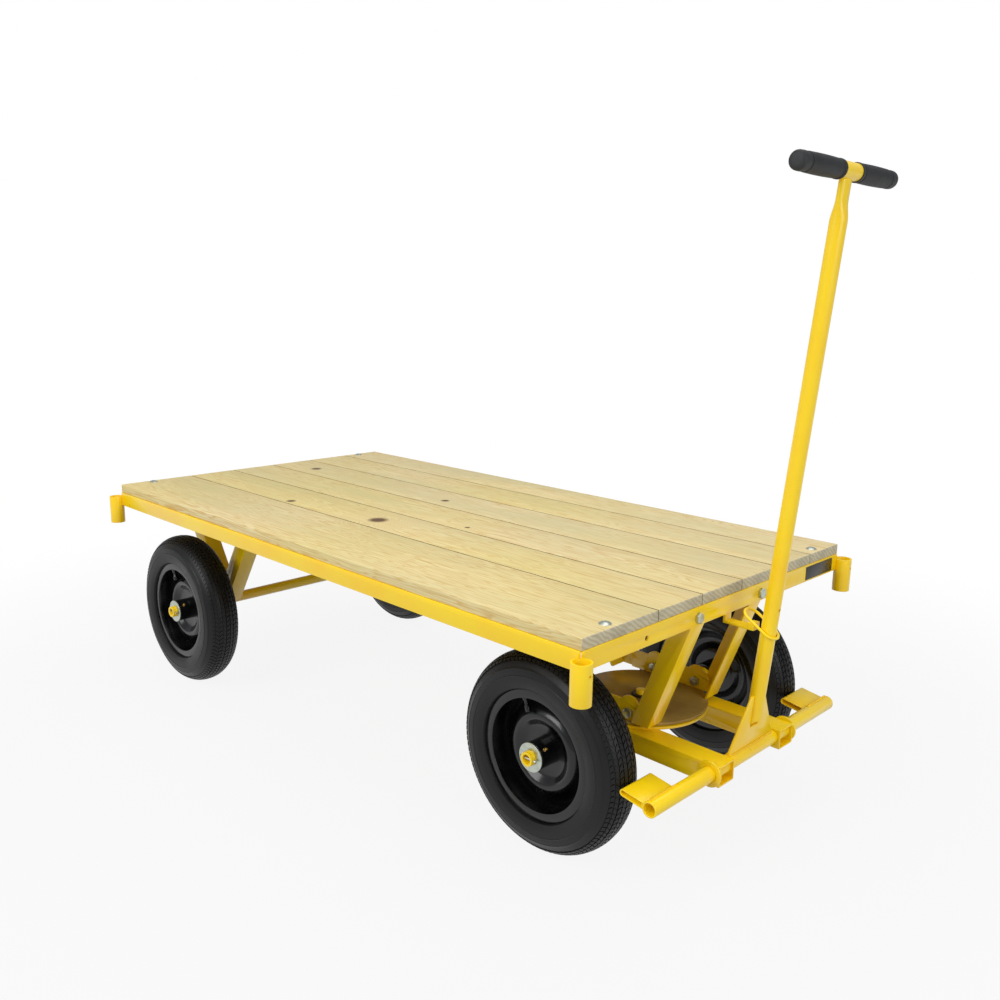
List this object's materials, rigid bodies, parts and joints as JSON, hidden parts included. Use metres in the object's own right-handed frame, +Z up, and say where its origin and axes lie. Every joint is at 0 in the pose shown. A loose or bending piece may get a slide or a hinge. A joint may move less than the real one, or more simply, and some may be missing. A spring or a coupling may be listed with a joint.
{
  "type": "platform wagon with turntable steering",
  "caption": "Platform wagon: boarded deck on a steel angle frame, turntable-steered front axle, air-filled tyres, and a tilting T-handle with tyre brake pads and a latch ring.",
  "frame": {"origin": "on the ground under the middle of the overall length and width, at the tyres' lowest points", "axes": "+X forwards to the handle end, +Y to the cart's left side, +Z up"},
  "size_m": [1.6828, 0.8484, 1.1468],
  "materials": {
    "yellow_paint": "semi-gloss yellow enamel on steel",
    "pine_boards": "planed, untreated",
    "zinc": "zinc plated",
    "tyre_rubber": "satin",
    "black_enamel": "gloss black enamel on steel",
    "grip_plastic": "matte",
    "washer_plastic": "greased, dark",
    "plate_plastic": "blank dark plate"
  },
  "bodies": {
    "chassis": {"deck_boards": "pine_boards", "side_rail_right": "yellow_paint", "side_rail_left": "yellow_paint", "front_rail": "yellow_paint", "rear_rail": "yellow_paint", "cross_member_rear": "yellow_paint", "cross_member_axle": "yellow_paint", "cross_member_middle": "yellow_paint", "cross_member_front": "yellow_paint", "socket_front_right": "yellow_paint", "socket_front_left": "yellow_paint", "socket_rear_right": "yellow_paint", "socket_rear_left": "yellow_paint", "deck_bolts": "zinc", "frame_bolts": "zinc", "label_plate": "plate_plastic", "latch_bracket": "yellow_paint", "turntable_upper_plate": "yellow_paint", "saddle_plate_right": "yellow_paint", "saddle_plate_left": "yellow_paint", "front_leg_right": "yellow_paint", "front_leg_left": "yellow_paint", "back_leg_right": "yellow_paint", "back_leg_left": "yellow_paint", "rear_axle": "yellow_paint", "rear_axle_retainers": "zinc", "rear_leg_right_front": "yellow_paint", "rear_leg_right_back": "yellow_paint", "rear_leg_left_front": "yellow_paint", "rear_leg_left_back": "yellow_paint"},
    "front_carriage": {"turntable_lower_plate": "yellow_paint", "kingpin": "yellow_paint", "thrust_washers": "washer_plastic", "front_axle": "yellow_paint", "front_axle_retainers": "zinc", "drawbar_arm_right": "yellow_paint", "drawbar_arm_left": "yellow_paint"},
    "handle": {"cross_tube": "yellow_paint", "pivot_collars": "yellow_paint", "brake_pad_right": "yellow_paint", "brake_pad_left": "yellow_paint", "handle_gusset": "yellow_paint", "handle_tube": "yellow_paint", "t_bar": "yellow_paint", "grip_right": "grip_plastic", "grip_left": "grip_plastic"},
    "latch_link": {"latch_ring": "yellow_paint"},
    "wheel_front_right": {"tyre_front_right": "tyre_rubber", "rim_front_right": "black_enamel", "hub_front_right": "black_enamel"},
    "wheel_front_left": {"tyre_front_left": "tyre_rubber", "rim_front_left": "black_enamel", "hub_front_left": "black_enamel"},
    "wheel_rear_right": {"tyre_rear_right": "tyre_rubber", "rim_rear_right": "black_enamel", "hub_rear_right": "black_enamel"},
    "wheel_rear_left": {"tyre_rear_left": "tyre_rubber", "rim_rear_left": "black_enamel", "hub_rear_left": "black_enamel"}
  },
  "joints": [
    {"name": "steer", "type": "hinge", "parent": "chassis", "child": "front_carriage", "pos_m": [0.50483, 0, 0.199], "axis": [0, 0, 1], "range_deg": [-25, 25]},
    {"name": "handle_tilt", "type": "hinge", "parent": "front_carriage", "child": "handle", "pos_m": [0.73683, 0, 0.177], "axis": [0, 1, 0], "range_deg": [0, 84]},
    {"name": "latch_lift", "type": "hinge", "parent": "handle", "child": "latch_link", "pos_m": [0.77299, 0, 0.391], "axis": [0, 1, 0], "range_deg": [-10, 20]},
    {"name": "spin_front_right", "type": "hinge", "parent": "front_carriage", "child": "wheel_front_right", "pos_m": [0.49883, -0.26, 0.18], "axis": [0, 1, 0], "continuous": true},
    {"name": "spin_front_left", "type": "hinge", "parent": "front_carriage", "child": "wheel_front_left", "pos_m": [0.49883, 0.26, 0.18], "axis": [0, 1, 0], "continuous": true},
    {"name": "spin_rear_right", "type": "hinge", "parent": "chassis", "child": "wheel_rear_right", "pos_m": [-0.61217, -0.334, 0.18], "axis": [0, 1, 0], "continuous": true},
    {"name": "spin_rear_left", "type": "hinge", "parent": "chassis", "child": "wheel_rear_left", "pos_m": [-0.61217, 0.334, 0.18], "axis": [0, 1, 0], "continuous": true}
  ]
}
